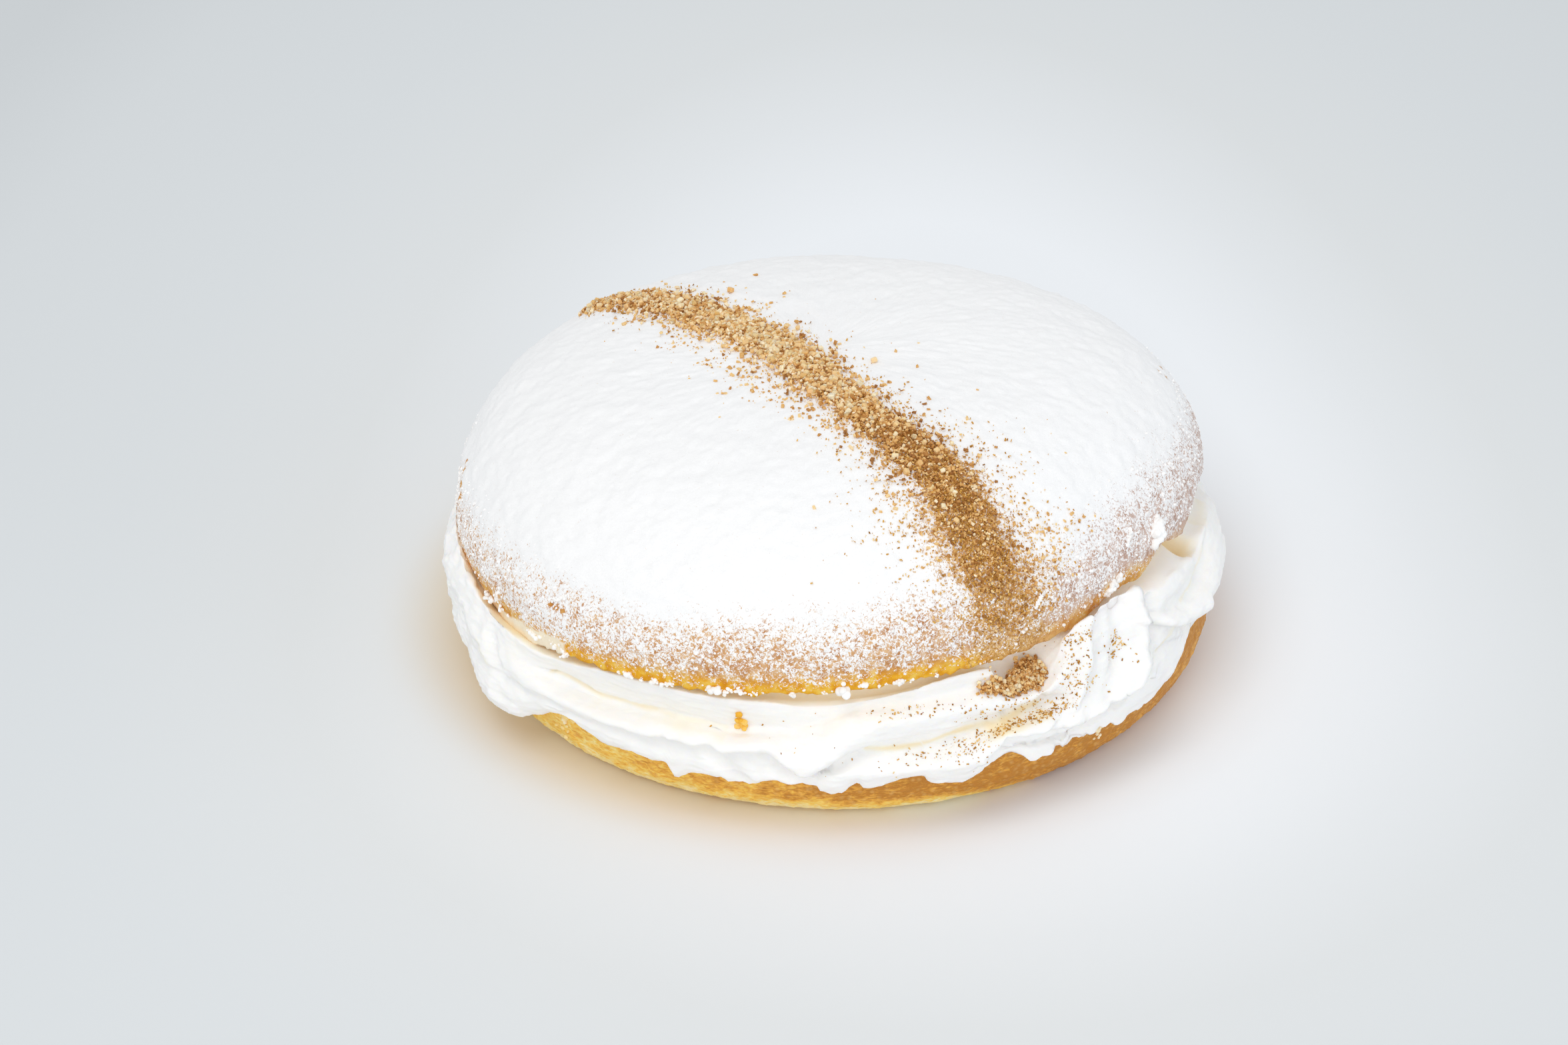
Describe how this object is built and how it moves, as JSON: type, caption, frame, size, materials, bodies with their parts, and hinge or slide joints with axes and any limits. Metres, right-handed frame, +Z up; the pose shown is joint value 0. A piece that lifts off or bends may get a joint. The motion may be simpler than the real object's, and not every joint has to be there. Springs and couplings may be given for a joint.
{
  "type": "cream bun",
  "caption": "Round soft bun split in two round a thick layer of whipped cream, dusted with icing sugar and crossed by a band of cinnamon sugar.",
  "frame": {"origin": "centre of the flat foot of the bottom half", "axes": "+Z up through the crown, -Y towards the front where the cream shows most, +X towards the right"},
  "size_m": [0.1102, 0.1118, 0.0462],
  "materials": {
    "baked_crust": "matte",
    "whipped_cream": "satin",
    "icing_sugar_crust": "matte"
  },
  "bodies": {
    "root": {"bun_bottom": "baked_crust", "cream_filling": "whipped_cream", "bun_top": "icing_sugar_crust"}
  },
  "joints": []
}
